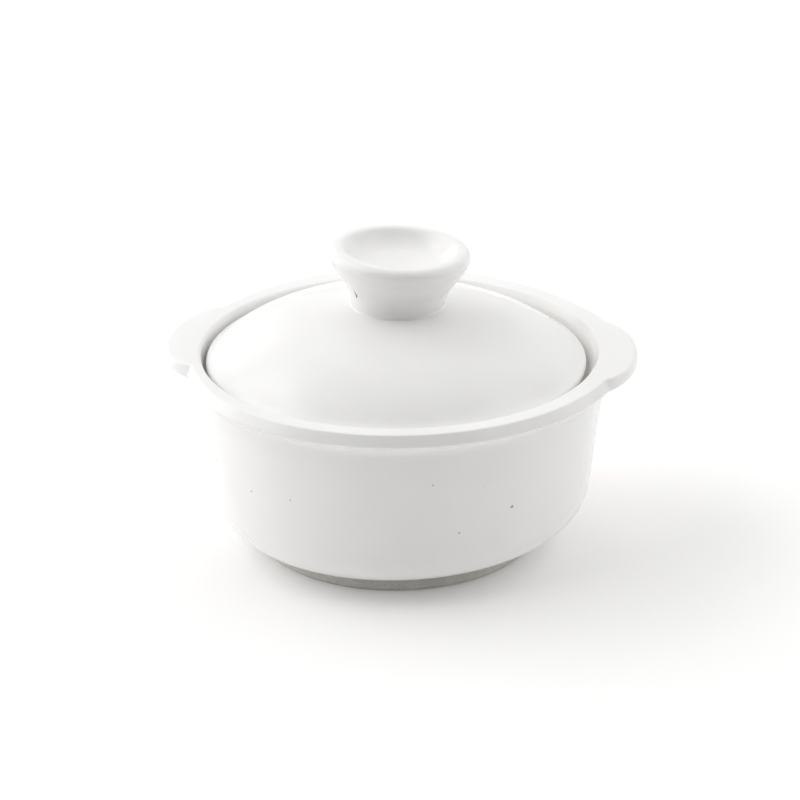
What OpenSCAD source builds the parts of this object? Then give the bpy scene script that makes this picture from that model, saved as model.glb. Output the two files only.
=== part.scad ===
// Covered casserole dish: a round glazed ceramic pot on a foot ring, with two lug handles,
// and a domed lid that drops inside the rim and is lifted by a hollow, dish-topped knob.
// Millimetres. +Z is up, the origin is the centre of the foot ring's underside, and +X
// runs out through the right handle.

/* [Pot] */
// Height from the table to the top of the rim
pot_h = 74; // [68:1:84]
// Outer diameter of the rim
rim_d = 163; // [153:1:173]
// Thickness of the floor
floor_t = 6; // [5:0.5:7]
// Lean of the wall out of upright, in degrees
wall_lean = 7.6; // [6:0.2:9]
// Climb of the underside from the foot to the belly, in degrees
base_climb = 27.5; // [24:0.5:31]
// Radius of the belly, where the wall turns into the base
belly_r = 17; // [12:1:19]

/* [Rim] */
// Width of the top of the rim
rim_w = 8.4; // [7.6:0.1:9.2]
// Height of the outer band of the rim
rim_t = 4.8; // [4.4:0.1:7]
// How far the rim stands out over the wall
rim_overhang = 5.6; // [4.8:0.1:6.5]
// Depth of the lid's seat below the top of the rim
seat_depth = 7.2; // [6.5:0.1:8]
// Width of the lid's seat
seat_w = 5.4; // [5:0.1:6]

/* [Foot ring] */
// Outer diameter of the foot ring
foot_d = 103; // [96:1:108]
// Height of the foot ring
foot_h = 4.5; // [3.5:0.1:6]
// Width of the foot ring
foot_w = 5; // [4:0.1:6]

/* [Handles] */
// How far each handle stands out beyond the rim
lug_reach = 6.5; // [5:0.5:12]
// Thickness of a handle at its outer edge
lug_t = 4.6; // [4:0.1:6]
// Half of the angle that a handle spans round the rim
lug_half_span = 22.5; // [18:0.5:28]
// Radius of a handle's outer corners
lug_corner_r = 8; // [4:0.5:8]

/* [Lid] */
// Gap between the edge of the lid and the rim, all round
lid_gap = 3.2; // [2:0.1:3.4]
// Thickness of the dome
dome_t = 5; // [4:0.5:5.5]
// Half width of the ellipse that the dome follows
dome_half_w = 78; // [76.5:0.5:82]
// Half height of the ellipse that the dome follows
dome_half_h = 39; // [35:1:43]
// Depth of the skirt that keeps the lid centred
skirt_h = 6; // [4:0.5:9]
// Width of the skirt
skirt_w = 4; // [3:0.5:4.5]

/* [Knob] */
// Diameter of the lip of the knob
knob_d = 51.8; // [46:0.2:56]
// Height of the knob
knob_h = 23; // [21.5:0.5:27]
// Diameter of the foot of the knob
knob_foot_d = 35.4; // [33:0.2:38]
// Depth of the dish in the top of the knob
dish_depth = 8.8; // [7:0.2:9.2]
// Diameter of the hollow inside the knob
knob_bore_d = 26; // [22:0.5:27]
// Diameter of the steam vent
vent_d = 3; // [2:0.1:4]
// Direction of the steam vent, in degrees round from +X
vent_angle = 225; // [0:1:359]

/* [Hidden] */
$fn = 144;
arc_step = 11;
cut = 0.5;

rim_r = rim_d / 2;
rim_in_r = rim_r - rim_w;
rim_dip = 0.3;
rim_edge_r = 1.6;
foot_r = foot_d / 2;
band_z = pot_h - rim_t;
wall_top = [rim_r - rim_overhang, band_z - 5.6];
belly = meet(wall_top, 90 - wall_lean, [foot_r, foot_h], base_climb);

seat_z = pot_h - seat_depth;
seat_out_r = rim_in_r - 0.3;
seat_in_r = rim_in_r - 0.3 - seat_w;
floor_z = foot_h + floor_t;
belly_in = meet([seat_in_r, seat_z], 90 - wall_lean / 2, [foot_r - 3, floor_z], base_climb);

lug_r = rim_r + lug_reach;
lug_top_z = pot_h - 0.8;
lug_root_z = wall_top[1] - 1.5;
lug_root_r = rim_r - 10;

lid_play = 0.1;
lid_z = seat_z + lid_play;
lid_r = rim_in_r - lid_gap;
lid_edge_z = lid_z + 3.6;
dome_z = lid_z + 4.3 - dome_half_h * sqrt(1 - pow((lid_r - 1.8) / dome_half_w, 2));
knob_foot_r = knob_foot_d / 2;
knob_z = dome_z + dome_half_h * sqrt(1 - pow(knob_foot_r / dome_half_w, 2));
skirt_r = seat_in_r - 1.6;
land_r = skirt_r - skirt_w - 1.2;

knob_r = knob_d / 2;
knob_top_z = knob_z + knob_h;
knob_bore_r = knob_bore_d / 2;
knob_bore_top_z = knob_top_z - dish_depth - 5;
lip_r = 3;
vent_z = knob_z + 8;

pot_white = [0.95, 0.95, 0.93];
bare_clay = [0.86, 0.84, 0.79];

// Where two lines cross in the r-z plane, each given by a point and an angle above level
function meet(p, p_angle, q, q_angle) =
    let (u = [cos(p_angle), sin(p_angle)], v = [cos(q_angle), sin(q_angle)], w = q - p)
    p + u * (w[0] * v[1] - w[1] * v[0]) / (u[0] * v[1] - u[1] * v[0]);

function unit(v) = v / norm(v);

// The arc that rounds corner b of the outline a, b, c: each corner is [x, y, radius]
function corner(a, b, c) =
    b[2] == 0 ? [[b[0], b[1]]] :
    let (
        p = [b[0], b[1]],
        u = unit([a[0], a[1]] - p),
        v = unit([c[0], c[1]] - p),
        half = acos(u * v) / 2,
        centre = p + unit(u + v) * b[2] / sin(half),
        s = p + u * b[2] / tan(half) - centre,
        e = p + v * b[2] / tan(half) - centre,
        start = atan2(s[1], s[0]),
        turn = atan2(s[0] * e[1] - s[1] * e[0], s * e),
        steps = ceil(abs(turn) / arc_step)
    )
    [for (k = [0 : steps]) centre + b[2] * [cos(start + turn * k / steps), sin(start + turn * k / steps)]];

// A closed outline of corners, with every corner rounded by its own radius
function rounded(corners) =
    let (n = len(corners))
    [for (i = [0 : n - 1]) each corner(corners[(i + n - 1) % n], corners[i], corners[(i + 1) % n])];

// Points along the dome from radius r0 to r1, drawn in by the depth d
function dome_line(r0, r1, d) =
    let (a = dome_half_w - d, b = dome_half_h - d, t0 = asin(r0 / a), t1 = asin(r1 / a), steps = 14)
    [for (k = [0 : steps]) let (t = t0 + (t1 - t0) * k / steps) [a * sin(t), dome_z + b * cos(t), 0]];

// The outside of the pot, from the middle of its base up to the top of its rim
function pot_outside() = [
    [0, foot_h, 0],
    [foot_r, foot_h, 0],
    [belly[0], belly[1], belly_r],
    [wall_top[0], wall_top[1], 4],
    [rim_r, band_z, 1.8],
    [rim_r, pot_h, rim_edge_r]
];

module pot_body() {
    color(pot_white) rotate_extrude() polygon(rounded(concat(pot_outside(), [
        [rim_in_r, pot_h - rim_dip, 1.4],
        [seat_out_r, seat_z, 1.5],
        [seat_in_r, seat_z, 1.2],
        [belly_in[0], belly_in[1], 12],
        [foot_r - 3, floor_z, 20],
        [0, floor_z, 0]
    ])));
}

module foot_ring() {
    color(bare_clay) rotate_extrude() polygon(rounded([
        [foot_r - foot_w, 0, 1.2],
        [foot_r, 0, 1.2],
        [foot_r - 0.6, foot_h, 0],
        [foot_r - foot_w - 0.6, foot_h, 0]
    ]));
}

// The plan of a handle: an arc that follows the rim, with rounded outer corners
module lug_plan() {
    side = lug_half_span + 4;
    polygon(rounded(concat(
        [[lug_root_r * cos(side), -lug_root_r * sin(side), 0]],
        [[lug_r * cos(lug_half_span), -lug_r * sin(lug_half_span), lug_corner_r]],
        [for (a = [-3 : 3]) [lug_r * cos(a * lug_half_span / 5), lug_r * sin(a * lug_half_span / 5), 0]],
        [[lug_r * cos(lug_half_span), lug_r * sin(lug_half_span), lug_corner_r]],
        [[lug_root_r * cos(side), lug_root_r * sin(side), 0]]
    )));
}

// A handle on +X: its plan, cut to a rounded edge and a sloping underside, and butted to the pot
module lug() {
    difference() {
        intersection() {
            translate([0, 0, lug_root_z - cut]) linear_extrude(pot_h - lug_root_z) lug_plan();
            rotate_extrude() polygon(rounded([
                [lug_root_r - cut, lug_root_z, 0],
                [lug_root_r + 4, lug_root_z, 0],
                [lug_r + cut, lug_top_z - lug_t, 2],
                [lug_r + cut, lug_top_z, 2.4],
                [lug_root_r - cut, lug_top_z, 0]
            ]));
        }
        rotate_extrude() polygon(rounded(concat(pot_outside(), [[0, pot_h, 0]])));
    }
}

module left_handle() { color(pot_white) rotate(180) lug(); }

module right_handle() { color(pot_white) lug(); }

module lid_dome() {
    color(pot_white) rotate_extrude() polygon(rounded(concat(
        [[knob_bore_r, knob_z, 0]],
        dome_line(knob_foot_r, lid_r - 3, 0),
        [[lid_r, lid_edge_z, 1.8], [lid_r, lid_z, 1.2], [land_r, lid_z, 0.8]],
        dome_line(land_r, knob_bore_r, dome_t)
    )));
}

module lid_skirt() {
    color(pot_white) rotate_extrude() polygon(rounded([
        [skirt_r, lid_z, 0],
        [skirt_r - skirt_w, lid_z, 0],
        [skirt_r - skirt_w + 0.4, lid_z - skirt_h, 1.2],
        [skirt_r - 0.4, lid_z - skirt_h, 1.2]
    ]));
}

module lid_knob() {
    color(pot_white) difference() {
        rotate_extrude() polygon(rounded([
            [knob_foot_r, knob_z, 0],
            [knob_foot_r + 0.9, knob_z + 6.4, 8],
            [knob_r, knob_top_z - 6.6, 3.5],
            [knob_r, knob_top_z, lip_r],
            [knob_r - lip_r - 1, knob_top_z, 2.4],
            [knob_r - 9.5, knob_top_z - dish_depth + 0.6, 9],
            [0, knob_top_z - dish_depth, 0],
            [0, knob_bore_top_z, 0],
            [knob_bore_r, knob_bore_top_z, 5],
            [knob_bore_r, knob_z, 0]
        ]));
        rotate(vent_angle) translate([0, 0, vent_z]) rotate([0, 90, 0]) cylinder(h = knob_r, d = vent_d);
    }
}

pot_body();
foot_ring();
left_handle();
right_handle();
lid_dome();
lid_skirt();
lid_knob();
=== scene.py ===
# A covered casserole dish, put together in the order it is made: the pot on its foot ring,
# then the lid and its knob. Metres, +Z up, with the foot ring on the table at z = 0. Sections
# are drawn in millimetres, and turned() makes them metres.
from math import acos, asin, atan2, ceil, cos, degrees, hypot, pi, radians, sin, sqrt, tan
from random import Random

import bpy
import bmesh
from mathutils import Matrix, Vector, noise


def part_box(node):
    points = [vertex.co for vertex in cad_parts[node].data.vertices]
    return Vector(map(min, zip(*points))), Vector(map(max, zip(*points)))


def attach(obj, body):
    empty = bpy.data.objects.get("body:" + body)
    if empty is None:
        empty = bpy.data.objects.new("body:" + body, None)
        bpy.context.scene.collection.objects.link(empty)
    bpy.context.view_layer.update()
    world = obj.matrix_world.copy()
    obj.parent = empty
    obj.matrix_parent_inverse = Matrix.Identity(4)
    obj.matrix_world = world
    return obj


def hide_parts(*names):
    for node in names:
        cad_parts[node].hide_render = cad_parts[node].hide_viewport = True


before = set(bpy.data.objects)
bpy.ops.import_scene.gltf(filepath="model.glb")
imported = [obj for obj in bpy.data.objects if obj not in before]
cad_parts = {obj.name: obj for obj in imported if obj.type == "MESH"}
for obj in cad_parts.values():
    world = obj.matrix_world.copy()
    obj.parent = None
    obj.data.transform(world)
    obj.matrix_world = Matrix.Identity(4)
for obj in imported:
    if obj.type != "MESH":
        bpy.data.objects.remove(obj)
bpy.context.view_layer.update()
MM = 0.001

# ---- Camera -------------------------------------------------------------------------------
# A telephoto lens a metre from the dish, looking down on the lid from the front and a little
# round towards the right handle.
rim_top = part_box("pot_body")[1].z
view_distance = 1.0
view_turn = radians(7.5)
view_height = radians(22.3)
level = radians(-0.6)
aim_side = 0.0007
aim_drop = 0.0215
aim = Vector((aim_side * cos(view_turn), aim_side * sin(view_turn), rim_top - aim_drop))
stand = Vector((sin(view_turn) * cos(view_height), -cos(view_turn) * cos(view_height), sin(view_height)))
camera = bpy.data.objects.new("camera", bpy.data.cameras.new("camera"))
camera.data.sensor_width = 36
camera.data.lens = 122.4
camera.location = Vector((0, 0, rim_top)) + stand * view_distance
sight = (aim - camera.location).to_track_quat("-Z", "Y")
camera.rotation_euler = (sight.to_matrix() @ Matrix.Rotation(level, 3, "Z")).to_euler()
bpy.context.scene.collection.objects.link(camera)
bpy.context.scene.camera = camera

# ---- Table and light ----------------------------------------------------------------------
# Glowing white paper under the dish, wide soft boxes round both sides, stronger on the left, a
# white screen behind and a large dim box overhead; the camera's side is dark.
scene = bpy.context.scene
scene.view_settings.view_transform = "Standard"


def shader(name):
    material = bpy.data.materials.new(name)
    material.use_nodes = True
    tree = material.node_tree
    return material, tree, tree.nodes["Principled BSDF"]


def soft_box(name, place, target, width, height, power):
    lamp = bpy.data.lights.new(name, "AREA")
    lamp.shape = "RECTANGLE"
    lamp.size, lamp.size_y = width, height
    lamp.energy = power
    box = bpy.data.objects.new(name, lamp)
    box.location = place
    box.rotation_euler = (Vector(target) - Vector(place)).to_track_quat("-Z", "Y").to_euler()
    scene.collection.objects.link(box)


paper, tree, skin = shader("paper")
skin.inputs["Base Color"].default_value = (0.92, 0.915, 0.91, 1)
skin.inputs["Roughness"].default_value = 0.9
skin.inputs["Specular IOR Level"].default_value = 0.1
skin.inputs["Emission Color"].default_value = (1, 1, 1, 1)
skin.inputs["Emission Strength"].default_value = 0.08
sheet = bmesh.new()
bmesh.ops.create_grid(sheet, x_segments=8, y_segments=8, size=6)
sweep = bpy.data.objects.new("sweep", bpy.data.meshes.new("sweep"))
sheet.to_mesh(sweep.data)
sheet.free()
sweep.data.materials.append(paper)
scene.collection.objects.link(sweep)

world = bpy.data.worlds.new("room")
world.use_nodes = True
world.node_tree.nodes["Background"].inputs["Color"].default_value = (1, 1, 1, 1)
world.node_tree.nodes["Background"].inputs["Strength"].default_value = 0.01
scene.world = world
soft_box("left_box", (-2.0, -0.2, 1.2), (0, 0, 0.05), 3.0, 2.8, 52)
soft_box("back_left_box", (-1.8, 1.0, 1.2), (0, 0, 0.05), 3.0, 2.8, 12)
soft_box("right_box", (2.0, -0.2, 1.2), (0, 0, 0.05), 3.0, 2.8, 26)
soft_box("back_right_box", (1.8, 1.0, 1.2), (0, 0, 0.05), 3.0, 2.8, 10)
soft_box("screen", (0.0, 1.7, 0.75), (0, 0, 0.35), 4.0, 1.4, 16)
soft_box("top_box", (0.0, 0.3, 2.0), (0, 0, 0.05), 3.6, 3.0, 28)

# ---- Pot ----------------------------------------------------------------------------------
# White stoneware, pressed over a mould and turned: a leaning wall, a rolled rim with a seat
# inside it for the lid, and a lug pressed out of the rim on each side, all under one glaze.
pot_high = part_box("pot_body")[1]
foot_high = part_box("foot_ring")[1]
lid_low, lid_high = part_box("lid_dome")
pot_h = pot_high.z / MM
rim_r = pot_high.y / MM - 0.1
rim_in_r = 73.2
lug_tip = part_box("right_handle")[1].x / MM
foot_r = foot_high.x / MM
foot_h = foot_high.z / MM
lid_z = lid_low.z / MM
seat_z = lid_z - 0.1
seat_in_r = 67.4
floor_z = foot_h + 6


def along(p, q, t):
    """The point that is the fraction t of the way from p to q."""
    return tuple(a + (b - a) * t for a, b in zip(p, q))


def smooth(t):
    """An S-shaped rise from 0 to 1 as t goes from 0 to 1, and level beyond."""
    t = max(0, min(1, t))
    return t * t * (3 - 2 * t)


def rounded(corners, steps=9):
    """An open outline in the r-z plane, with each corner (r, z, radius) turned into an arc."""
    line = []
    for i, (r, z, radius) in enumerate(corners):
        p = Vector((r, z))
        if radius == 0 or i in (0, len(corners) - 1):
            line.append((r, z))
            continue
        u = (Vector(corners[i - 1][:2]) - p).normalized()
        v = (Vector(corners[i + 1][:2]) - p).normalized()
        half = acos(max(-1, min(1, u.dot(v)))) / 2
        centre = p + (u + v).normalized() * radius / sin(half)
        s = p + u * radius / tan(half) - centre
        e = p + v * radius / tan(half) - centre
        start = atan2(s.y, s.x)
        turn = atan2(s.x * e.y - s.y * e.x, s.dot(e))
        for k in range(steps + 1):
            a = start + turn * k / steps
            line.append((centre.x + radius * cos(a), centre.y + radius * sin(a)))
    return line


def gaps(line, spacing):
    """How many lengths, no longer than spacing, each straight run of an outline is cut into."""
    return [max(1, ceil(hypot(b[0] - a[0], b[1] - a[1]) / spacing)) for a, b in zip(line, line[1:])]


def filled(line, counts):
    """The same outline with each straight run cut into that many lengths."""
    out = [along(a, b, k / n) for a, b, n in zip(line, line[1:], counts) for k in range(n)]
    return out + [line[-1]]


wander_length = 38


def turned(name, turns, outline, closed=False, uneven=0.1, settle=None, bare=None):
    """A mesh turned about the Z axis: outline(turn) gives its section at each turn, in
    millimetres. The surface wanders in and out by up to about uneven. settle moves each point
    as drying and firing did, and bare picks the unglazed faces."""
    form = bmesh.new()
    rings = []
    for turn in turns:
        ring = []
        for r, z in outline(turn):
            point = Vector((r * cos(turn), r * sin(turn), z))
            if r > 1e-6:
                wander = uneven * noise.noise(point / wander_length)
                point += Vector((cos(turn), sin(turn), 0)) * wander * min(1, r / 12)
            if settle:
                point = settle(point)
            ring.append(form.verts.new(point * MM))
        rings.append(ring)
    count = len(rings[0])
    for ring, after in zip(rings, rings[1:] + rings[:1]):
        for k in range(count - (0 if closed else 1)):
            j = (k + 1) % count
            form.faces.new((ring[k], after[k], after[j], ring[j]))
    bmesh.ops.remove_doubles(form, verts=form.verts, dist=1e-7)
    bmesh.ops.dissolve_degenerate(form, edges=form.edges, dist=1e-7)
    bmesh.ops.recalc_face_normals(form, faces=form.faces)
    for face in form.faces:
        face.smooth = True
        spot = face.calc_center_median() / MM
        face.material_index = 1 if bare and bare(hypot(spot.x, spot.y), spot.z) else 0
    mesh = bpy.data.meshes.new(name)
    form.to_mesh(mesh)
    form.free()
    piece = bpy.data.objects.new(name, mesh)
    scene.collection.objects.link(piece)
    return piece


# The rim dried a little oval and a little three-sided, and is pinched in at the front left. The
# middle of the pinch and its half width are in degrees.
oval = 0.85
oval_turn = radians(111)
three_sided = 0.7
three_turn = radians(-7)
shift = 0.4
pinch = 1.2
pinch_middle = 207
pinch_half = 26


def rim_line(turn):
    """The rim's radius at this turn, where there is no handle."""
    wave = oval * cos(2 * (turn - oval_turn)) + three_sided * cos(3 * (turn - three_turn))
    pinched = pinch * (1 - smooth(abs(degrees(turn) - pinch_middle) / pinch_half))
    return rim_r + wave + shift * cos(turn) - pinched


# A handle is a full, square-shouldered arc, and both sit a little behind the middle of the dish.
# The right one is narrower, and its back runs out slowly into the rim. Angles are in degrees.
left_middle = 177
right_middle = 4.3
lug_half = 22.5
lug_fullness = 3.2
right_narrow = 0.95
back_reach = 0.22
back_start = 17
back_length = 20


def lug(turn):
    """How far out a handle reaches at this turn, from 0 at the rim to 1 at its tip."""
    right = (degrees(turn) - right_middle + 180) % 360 - 180
    left = (degrees(turn) - left_middle + 180) % 360 - 180
    off = min(abs(right) / right_narrow, abs(left))
    reach = 1 - min(1, off / lug_half) ** lug_fullness
    if 0 < right < back_start + back_length:
        reach = max(reach, back_reach * (1 - smooth((right - back_start) / back_length)))
    return reach


# The pot's section. The wall runs out from its foot to the neck under the rim, and the seat
# inside the rim is wider on the left, at the open side, than on the right.
wall_foot_r = 69.3
wall_foot_z = 12.6
neck_r = 75.8
neck_z = pot_h - 8.0
rim_edge_z = pot_h - 4.2
slope_r = 71.3
seat_r = 69.8
inner_foot_r = 64.1
inner_foot_z = 17.9
floor_r = 48.5


def pot_corners(turn):
    """Corners from the middle of the underside, out and up the wall, over the rim and the
    seat, and down to the middle of the floor. A handle is the rim drawn out and thinned."""
    out = lug(turn)
    edge = rim_line(turn) + (lug_tip - 0.1 - rim_line(turn)) * out
    undercut = 0.7 if cos(turn) > 0 else 0.2
    open_side = 0.5 - 0.5 * cos(turn)
    return [
        (0, foot_h - 1, 0),
        (foot_r - 1, foot_h - 1, 0),
        (wall_foot_r, wall_foot_z, 17),
        (neck_r, neck_z + 1.2 * out, 6 - 3 * out),
        (edge - undercut * out, rim_edge_z + 0.2 * out, 0.9 + 0.7 * out),
        (edge - 1.9 + 1.7 * out, pot_h, 0.8 + 1.6 * out),
        (rim_in_r, pot_h - 0.2, 1.4),
        (slope_r + 1.4 * open_side, pot_h - 3.6, 4),
        (seat_r + 2.4 * open_side, seat_z, 1.2),
        (seat_in_r, seat_z, 1.2),
        (inner_foot_r, inner_foot_z, 12),
        (floor_r, floor_z, 20),
        (0, floor_z, 0),
    ]


wall_shift = 0.85
base_tilt = 0.02


def pot_settle(point):
    """The wall stands a little to the right of the foot, and the base is lower on the left."""
    height = smooth((point.z - foot_h) / 20)
    low = smooth((point.z - foot_h + 2) / 5) * (1 - smooth((point.z - 7) / 8))
    return point + Vector((wall_shift * height, 0, base_tilt * point.x * low))


pot_gaps = gaps(rounded(pot_corners(pi / 2)), 3.0)
# The sections stand closer together through the handles than between them.
pot_turns = [radians(a) for side in (0, 180) for a in
             [side - 30 + 0.5 * k for k in range(120)] + [side + 30 + 1.5 * k for k in range(80)]]
pot = turned("pot", pot_turns, lambda turn: filled(rounded(pot_corners(turn)), pot_gaps),
             settle=pot_settle, bare=lambda r, z: abs(z - seat_z) < 0.15 and 66 < r < 71)
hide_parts("pot_body", "left_handle", "right_handle")
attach(pot, "pot")

# The glaze: a clear gloss over white clay, with a faint ripple and a scatter of iron specks
# that came through it. The largest is halfway up the wall, at the front right.
speck_r = 69.8
speck_z = 14
wall_slope = 0.11


def on_wall(turn, height):
    """A place on the outside of the wall, which leans out from about speck_r at speck_z."""
    r = speck_r + wall_slope * (height - speck_z)
    return Vector((r * cos(turn) + wall_shift, r * sin(turn), height))


scatter = Random(7)
specks = [(on_wall(scatter.uniform(0, 2 * pi), scatter.uniform(24, 64)), scatter.uniform(0.3, 0.5))
          for k in range(16)]
specks.append((on_wall(radians(-50), 37.5), 0.7))


def add(tree, kind, links=(), **values):
    """A shader node: values set its sockets, links feed them from other nodes."""
    node = tree.nodes.new("ShaderNode" + kind)
    for key, value in values.items():
        if hasattr(node, key):
            setattr(node, key, value)
        else:
            node.inputs[key.replace("_", " ")].default_value = value
    for socket, source in links:
        tree.links.new(source, node.inputs[socket])
    return node


def spread(tree, source, low, high, to_low, to_high):
    """A value between low and high, eased into the range from to_low to to_high."""
    return add(tree, "MapRange", [("Value", source)], interpolation_type="SMOOTHSTEP",
               From_Min=low, From_Max=high, To_Min=to_low, To_Max=to_high).outputs["Result"]


def blend(tree, amount, first, second):
    """A mix of two colours: first where amount is 0, and second where it is 1."""
    node = add(tree, "Mix", data_type="RGBA")
    tree.links.new(amount, node.inputs[0])
    for socket, value in ((6, first), (7, second)):
        if isinstance(value, tuple):
            node.inputs[socket].default_value = value
        else:
            tree.links.new(value, node.inputs[socket])
    return node.outputs[2]


glaze, tree, skin = shader("white_glaze")
place = add(tree, "TexCoord").outputs["Object"]
cloud = add(tree, "TexNoise", [("Vector", place)], Scale=45, Detail=3, Roughness=0.5).outputs["Fac"]
milk_white = (0.872, 0.867, 0.855, 1)
thin_white = (0.855, 0.85, 0.836, 1)
colour = blend(tree, spread(tree, cloud, 0.3, 0.7, 0, 1), milk_white, thin_white)
# About one cell in fourteen holds a faint small speck.
grain = add(tree, "TexVoronoi", [("Vector", place)], Scale=130, Randomness=1)
cell = add(tree, "SeparateColor", [("Color", grain.outputs["Color"])]).outputs["Red"]
lone = spread(tree, cell, 0.93, 0.931, 0, 1)
dot = spread(tree, grain.outputs["Distance"], 0.018, 0.04, 0.35, 0)
faint = add(tree, "Math", [(0, lone), (1, dot)], operation="MULTIPLY").outputs[0]
faint_brown = (0.35, 0.3, 0.22, 1)
colour = blend(tree, faint, colour, faint_brown)
iron_brown = (0.16, 0.11, 0.06, 1)
for middle, radius in specks:
    gap = add(tree, "VectorMath", [(0, place)], operation="DISTANCE")
    gap.inputs[1].default_value = middle * MM
    spot = spread(tree, gap.outputs["Value"], radius * 0.4 * MM, radius * 1.2 * MM, 0.75, 0)
    colour = blend(tree, spot, colour, iron_brown)
tree.links.new(colour, skin.inputs["Base Color"])
tree.links.new(spread(tree, cloud, 0.3, 0.7, 0.17, 0.25), skin.inputs["Roughness"])
skin.inputs["Specular IOR Level"].default_value = 0.4
# A slow ripple, with the fine skin of a fired glaze over it.
ripple = add(tree, "TexNoise", [("Vector", place)], Scale=170, Detail=2, Roughness=0.45).outputs["Fac"]
peel = add(tree, "TexNoise", [("Vector", place)], Scale=1100, Detail=2, Roughness=0.5).outputs["Fac"]
waves = add(tree, "Bump", [("Height", ripple)], Strength=0.5, Distance=0.00006)
skin_bump = add(tree, "Bump", [("Height", peel), ("Normal", waves.outputs["Normal"])],
                Strength=0.35, Distance=0.00001)
tree.links.new(skin_bump.outputs["Normal"], skin.inputs["Normal"])

# Where the glaze was wiped off: sanded clay with dark grains in it, in a warm grey darker than the
# glaze.
# That darkness is partly painted shade, standing in for the shade on the foot band. It is the
# seat's and the lid edge's finish too, since glazed faces would fuse in the kiln.
clay, tree, skin = shader("bare_clay")
place = add(tree, "TexCoord").outputs["Object"]
cloud = add(tree, "TexNoise", [("Vector", place)], Scale=120, Detail=4, Roughness=0.6).outputs["Fac"]
# Both clay tones are darker than the clay itself: painted shade for the shaded foot band.
clay_grey_with_painted_shade = (0.62, 0.605, 0.57, 1)
darker_clay_grey_with_painted_shade = (0.56, 0.545, 0.505, 1)
colour = blend(tree, spread(tree, cloud, 0.3, 0.7, 0, 1), clay_grey_with_painted_shade, darker_clay_grey_with_painted_shade)
grain = add(tree, "TexVoronoi", [("Vector", place)], Scale=900, Randomness=1)
dot = spread(tree, grain.outputs["Distance"], 0.1, 0.3, 0.5, 0)
dark_grain = (0.3, 0.27, 0.22, 1)
colour = blend(tree, dot, colour, dark_grain)
tree.links.new(colour, skin.inputs["Base Color"])
tree.links.new(spread(tree, cloud, 0.3, 0.7, 0.75, 0.92), skin.inputs["Roughness"])
sand = add(tree, "TexNoise", [("Vector", place)], Scale=2600, Detail=3, Roughness=0.6).outputs["Fac"]
rough = add(tree, "Bump", [("Height", sand)], Strength=0.6, Distance=0.00006)
tree.links.new(rough.outputs["Normal"], skin.inputs["Normal"])
pot.data.materials.append(glaze)
pot.data.materials.append(clay)

# ---- Foot ring ----------------------------------------------------------------------------
# A low ring turned out of the base, wiped clean of glaze and sanded, because the dish stood on
# it in the kiln.
foot_w = 5
foot_shift = 0.8
# Even turns all the way round, for the foot ring, the lid and the knob.
even_turns = [2 * pi * k / 300 for k in range(300)]
foot_outline = rounded([
    (foot_r - foot_w - 0.6, foot_h + 0.4, 0),
    (foot_r - foot_w, 0, 1.2),
    (foot_r + 0.7, 0, 0.4),
    (foot_r + 1.8, 1.2, 0.5),
    (foot_r + 1.2, foot_h + 0.1, 0),
])
foot_gaps = gaps(foot_outline, 1.2)
foot = turned("foot", even_turns, lambda turn: filled(foot_outline, foot_gaps), closed=True,
              uneven=0.05, settle=lambda point: point + Vector((-foot_shift, 0, 0)))
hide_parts("foot_ring")
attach(foot, "pot")
# The foot's grey is bare clay, and it is partly painted shade: it is darkened to look like the shade on
# the foot band.
foot.data.materials.append(clay)

# ---- Lid ----------------------------------------------------------------------------------
# A shallow dome with a flat bare edge that rests on the seat, and a skirt under it that stops
# the lid from sliding off. It opens under the knob, so that steam can reach the vent.
lid_r = lid_high.x / MM
knob_low, knob_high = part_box("lid_knob")
knob_z = knob_low.z / MM
skirt_low, skirt_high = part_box("lid_skirt")
skirt_r = skirt_high.x / MM
skirt_z = skirt_low.z / MM
bore_r = 13
# The dome's section is the top of an ellipse: its half axes, and the height of its centre.
half_w, half_h = 78, 39
dome_z = lid_z + 4.3 - half_h * sqrt(1 - ((lid_r - 1.8) / half_w) ** 2)
lid_thick = 5


def dome_line(r0, r1, depth, steps):
    """Points from radius r0 to r1 along the dome, or along the same curve at a depth under it."""
    a, b = half_w - depth, half_h - depth
    t0, t1 = asin(r0 / a), asin(r1 / a)
    return [(a * sin(t0 + (t1 - t0) * k / steps), dome_z + b * cos(t0 + (t1 - t0) * k / steps), 0)
            for k in range(steps + 1)]


lid_shift = 0.6
lid_tilt = 0.011
crown_rise = 0.8


def lid_settle(point):
    """The dome stands a little to the left on its seat and is lower on the right."""
    lift = smooth((point.z - lid_z - 0.8) / 4)
    crown = crown_rise * (1 - smooth((hypot(point.x, point.y) - 18) / 20))
    return point + Vector((-lid_shift, 0, crown - lid_tilt * point.x * lift))


lid_outline = rounded(
    [(bore_r, knob_z - 5, 0), (bore_r, knob_z, 0)]
    + dome_line(16, lid_r - 2.2, 0, 28)
    + [(lid_r, lid_z + 3.6, 1.6), (lid_r, lid_z, 1.2), (skirt_r, lid_z, 0.8),
       (skirt_r - 0.4, skirt_z, 1.2), (skirt_r - 3.6, skirt_z, 1.2), (skirt_r - 4, lid_z + 1.5, 2)]
    + dome_line(58, bore_r + 1, lid_thick, 24)
)
lid_gaps = gaps(lid_outline, 2.5)
lid = turned("lid", even_turns, lambda turn: filled(lid_outline, lid_gaps), closed=True,
             settle=lid_settle, bare=lambda r, z: abs(z - lid_z) < 0.25 and r > skirt_r - 1)
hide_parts("lid_dome", "lid_skirt")
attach(lid, "lid")
lid.data.materials.append(glaze)
lid.data.materials.append(clay)

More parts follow.
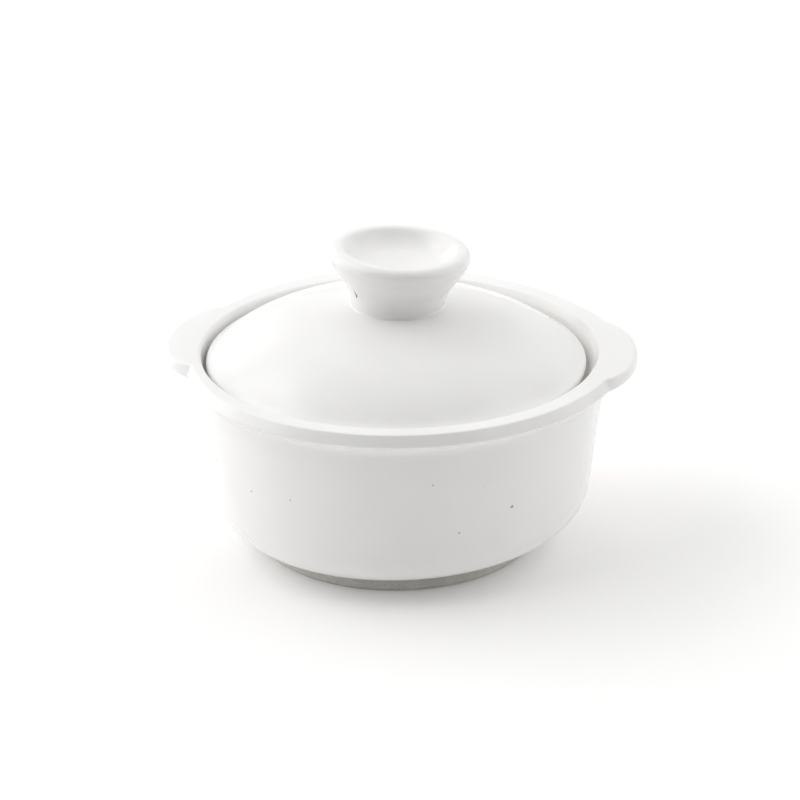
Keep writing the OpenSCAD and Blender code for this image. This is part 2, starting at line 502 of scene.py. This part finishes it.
# ---- Knob ---------------------------------------------------------------------------------
# Thrown separately and stuck on with slip: a flared neck, a thick rolled lip round a shallow
# dish, hollow inside, with a steam vent pricked through the neck. It leans to the right.
knob_r = knob_high.x / MM
knob_top = knob_high.z / MM
knob_outline = rounded([
    (0, knob_top - 13.8, 0),
    (bore_r - 1, knob_top - 13.8, 4),
    (bore_r + 0.3, knob_z - 0.4, 0),
    (17.8, knob_z - 0.4, 0.2),
    (17.2, knob_z + 0.7, 0.8),
    (19.0, knob_z + 8.2, 7),
    (knob_r - 2.0, knob_top - 7.4, 3),
    (knob_r + 0.02, knob_top - 3.1, 1.3),
    (knob_r - 0.4, knob_top, 2.6),
    (knob_r - 5.2, knob_top, 3),
    (knob_r - 10, knob_top - 5.4, 11),
    (0, knob_top - 7.2, 0),
])
knob_gaps = gaps(knob_outline, 1.2)
knob_lean = 0.045
knob_shift = 0.8
knob_sink = 1.0


def knob_settle(point):
    """The knob was stuck on a little to the right, leans that way, and sank as it dried."""
    rise = point.z - knob_z
    tip = knob_lean * smooth(rise / 8)
    sink = knob_sink * smooth(rise / 14)
    side = knob_shift + knob_lean * max(0, rise)
    return lid_settle(point) + Vector((side, 0, -tip * point.x - sink))


knob = turned("knob", even_turns, lambda turn: filled(knob_outline, knob_gaps), uneven=0.08,
              settle=knob_settle)
vent_turn = radians(225)
vent_r = 16.5
vent_z = knob_z + 8.6
vent_cut = bmesh.new()
bmesh.ops.create_cone(vent_cut, segments=32, radius1=1.2 * MM, radius2=1.4 * MM, depth=12 * MM)
bmesh.ops.scale(vent_cut, vec=(0.45, 1.15, 1), verts=vent_cut.verts)
vent_way = Vector((cos(vent_turn), sin(vent_turn), 0.05))
vent_middle = Vector((cos(vent_turn) * vent_r, sin(vent_turn) * vent_r, vent_z)) * MM
vent_place = Matrix.Translation(vent_middle)
bmesh.ops.transform(vent_cut, verts=vent_cut.verts,
                    matrix=vent_place @ vent_way.to_track_quat("Z", "Y").to_matrix().to_4x4())
drill = bpy.data.objects.new("drill", bpy.data.meshes.new("drill"))
vent_cut.to_mesh(drill.data)
vent_cut.free()
scene.collection.objects.link(drill)
pricked = knob.modifiers.new("vent", "BOOLEAN")
pricked.object = drill
pricked.operation = "DIFFERENCE"
pricked.solver = "EXACT"
solid = bpy.data.meshes.new_from_object(knob.evaluated_get(bpy.context.evaluated_depsgraph_get()))
knob.modifiers.clear()
knob.data = solid
bpy.data.objects.remove(drill)
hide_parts("lid_knob")
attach(knob, "lid")
knob.data.materials.clear()
knob.data.materials.append(glaze)
